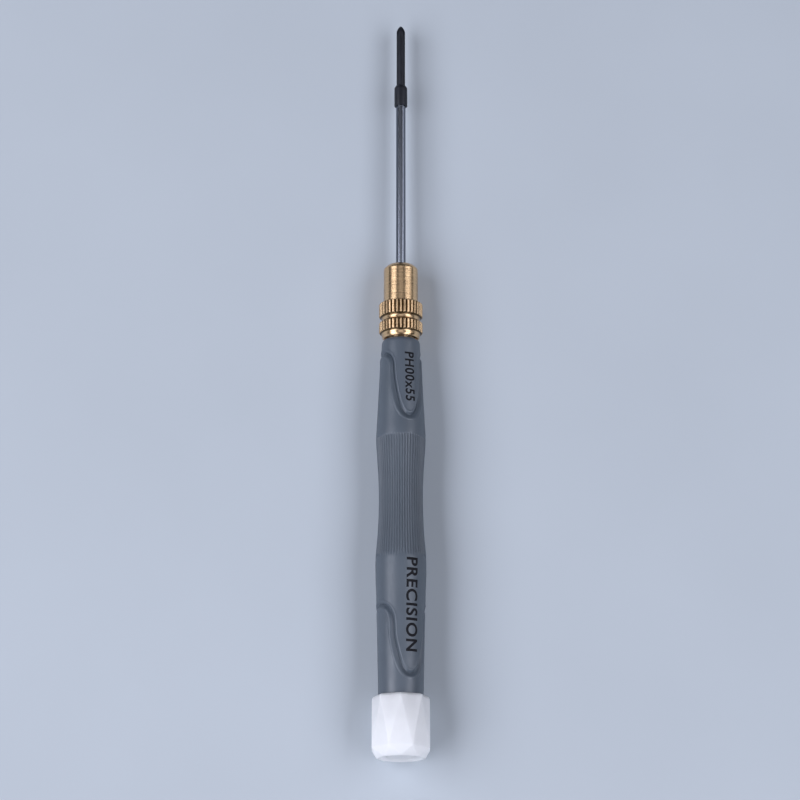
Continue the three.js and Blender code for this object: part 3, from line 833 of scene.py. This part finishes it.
VIEW = {"elevation": 73.7, "distance": 580.0, "aim_y": 75.3, "aim_x": -0.18, "lens": 124.2}
GRIP_REST_Y = 66.4               # where the grip touches the bench
LIGHT_DISTANCE = 1000
LIGHT_COLOUR = (0.86, 0.885, 1.0)
# Area lights, as (name, direction from the tool, size across and along the tool, watts).
SOFTBOXES = (
    ("softbox_left", (-0.73, -0.2, 0.66), 640, 1250, 11.6),
    ("softbox_right", (0.69, -0.2, 0.71), 520, 1250, 7.1),
    ("fill_left", (-0.42, -0.8, 0.5), 420, 420, 0.6),
    ("fill_right", (0.42, -0.8, 0.5), 420, 420, 0.6),
)
# These only show as reflections, in the metal and along the top of the handle.
REFLECTORS = (
    ("reflector", (0.84, 0.36, 0.4), 420, 260, 0.45),
    ("overhead", (0.0, 0.0, 1.0), 600, 900, 1.6),
)


def make_camera():
    data = bpy.data.cameras.new("camera")
    data.lens, data.sensor_width = VIEW["lens"], 36
    data.clip_start, data.clip_end = 0.01, 10
    camera = bpy.data.objects.new("camera", data)
    bpy.context.scene.collection.objects.link(camera)
    e = math.radians(VIEW["elevation"])
    back = Vector((0, -math.cos(e), math.sin(e)))
    aim = Vector((VIEW["aim_x"], VIEW["aim_y"], 0)) * MM
    camera.location = aim + back * VIEW["distance"] * MM
    camera.rotation_euler = (-back).to_track_quat("-Z", "Y").to_euler()
    bpy.context.scene.camera = camera


def make_floor():
    """Bench top, which touches the cap and the widest ring of the grip."""
    mesh = bpy.data.meshes.new("floor")
    reach = 1500
    corners = [(-reach, -reach), (reach, -reach), (reach, reach), (-reach, reach)]
    cap_y, grip_z = CAP_HIGH.y - 0.5, -float(outline(GRIP_REST_Y)) - GRIP_PROUD - 0.01
    slope = (grip_z - REST_Z) / (GRIP_REST_Y - cap_y)
    points = [Vector((x, y, REST_Z + slope * (y - cap_y))) * MM for x, y in corners]
    mesh.from_pydata(points, [], [(0, 1, 2, 3)])
    floor = bpy.data.objects.new("floor", mesh)
    bpy.context.scene.collection.objects.link(floor)
    colour = (0.51, 0.555, 0.594)
    material, nodes, links, shader = new_material("bench", colour, 0.6)
    shade = noise(nodes, links, (0.02, 0.02, 0.02), 3)
    tint = tinted(nodes, links, shade, scaled(colour, 0.98), scaled(colour, 1.02))
    links.new(tint, shader.inputs["Base Color"])
    floor.data.materials.append(material)


def add_softbox(name, direction, across, along, power):
    """Area light that faces the tool from a direction; its height runs along the tool."""
    data = bpy.data.lights.new(name, "AREA")
    data.shape, data.size, data.size_y = "RECTANGLE", across * MM, along * MM
    data.energy, data.color = power, LIGHT_COLOUR
    light = bpy.data.objects.new(name, data)
    bpy.context.scene.collection.objects.link(light)
    back = Vector(direction).normalized()
    side = Vector((0, 1, 0)).cross(back).normalized()
    turn = Matrix((side, back.cross(side), back)).transposed()
    place_at = (Vector((0, VIEW["aim_y"], 0)) + back * LIGHT_DISTANCE) * MM
    light.matrix_world = Matrix.Translation(place_at) @ turn.to_4x4()
    return light


def make_lights():
    for softbox in SOFTBOXES:
        add_softbox(*softbox)
    for reflector in REFLECTORS:
        add_softbox(*reflector).visible_diffuse = False
    world = bpy.data.worlds.new("studio")
    world.use_nodes = True
    background = world.node_tree.nodes["Background"]
    background.inputs["Color"].default_value = (0.8, 0.86, 1, 1)
    background.inputs["Strength"].default_value = 0.02
    bpy.context.scene.world = world
    bpy.context.scene.view_settings.view_transform = "Standard"


# ---- Assembly ----

make_camera()
make_lights()
make_floor()

handle_plastic = moulded_grey("handle_plastic", (0.076, 0.096, 0.12), 0.42, 0.004)
grip_rubber = moulded_grey("grip_rubber", (0.073, 0.093, 0.116), 0.45, 0.008)
brass = turned_brass()
plated = plated_steel()
black = black_oxide()
white = white_plastic()
ink = black_ink()

make_core(handle_plastic)
make_grip(grip_rubber)
for name, mark in PRINTS.items():
    make_print(name, mark, ink)
make_nut(brass)
make_stud(brass)
make_blade(plated, black)
make_cap(white)

by_slot = {
    "brass": brass,
    "bearing_steel": bright_steel("bearing_steel", (0.66, 0.68, 0.7), 0.16),
    "zinc_steel": bright_steel("zinc_steel", (0.55, 0.57, 0.6), 0.32),
}
slot_of = {part["node"]: part["material_slot"] for part in frame["record"]["subparts"]}
for node, obj in frame["nodes"].items():
    if slot_of[node] in by_slot:
        obj.data.materials.clear()
        obj.data.materials.append(by_slot[slot_of[node]])
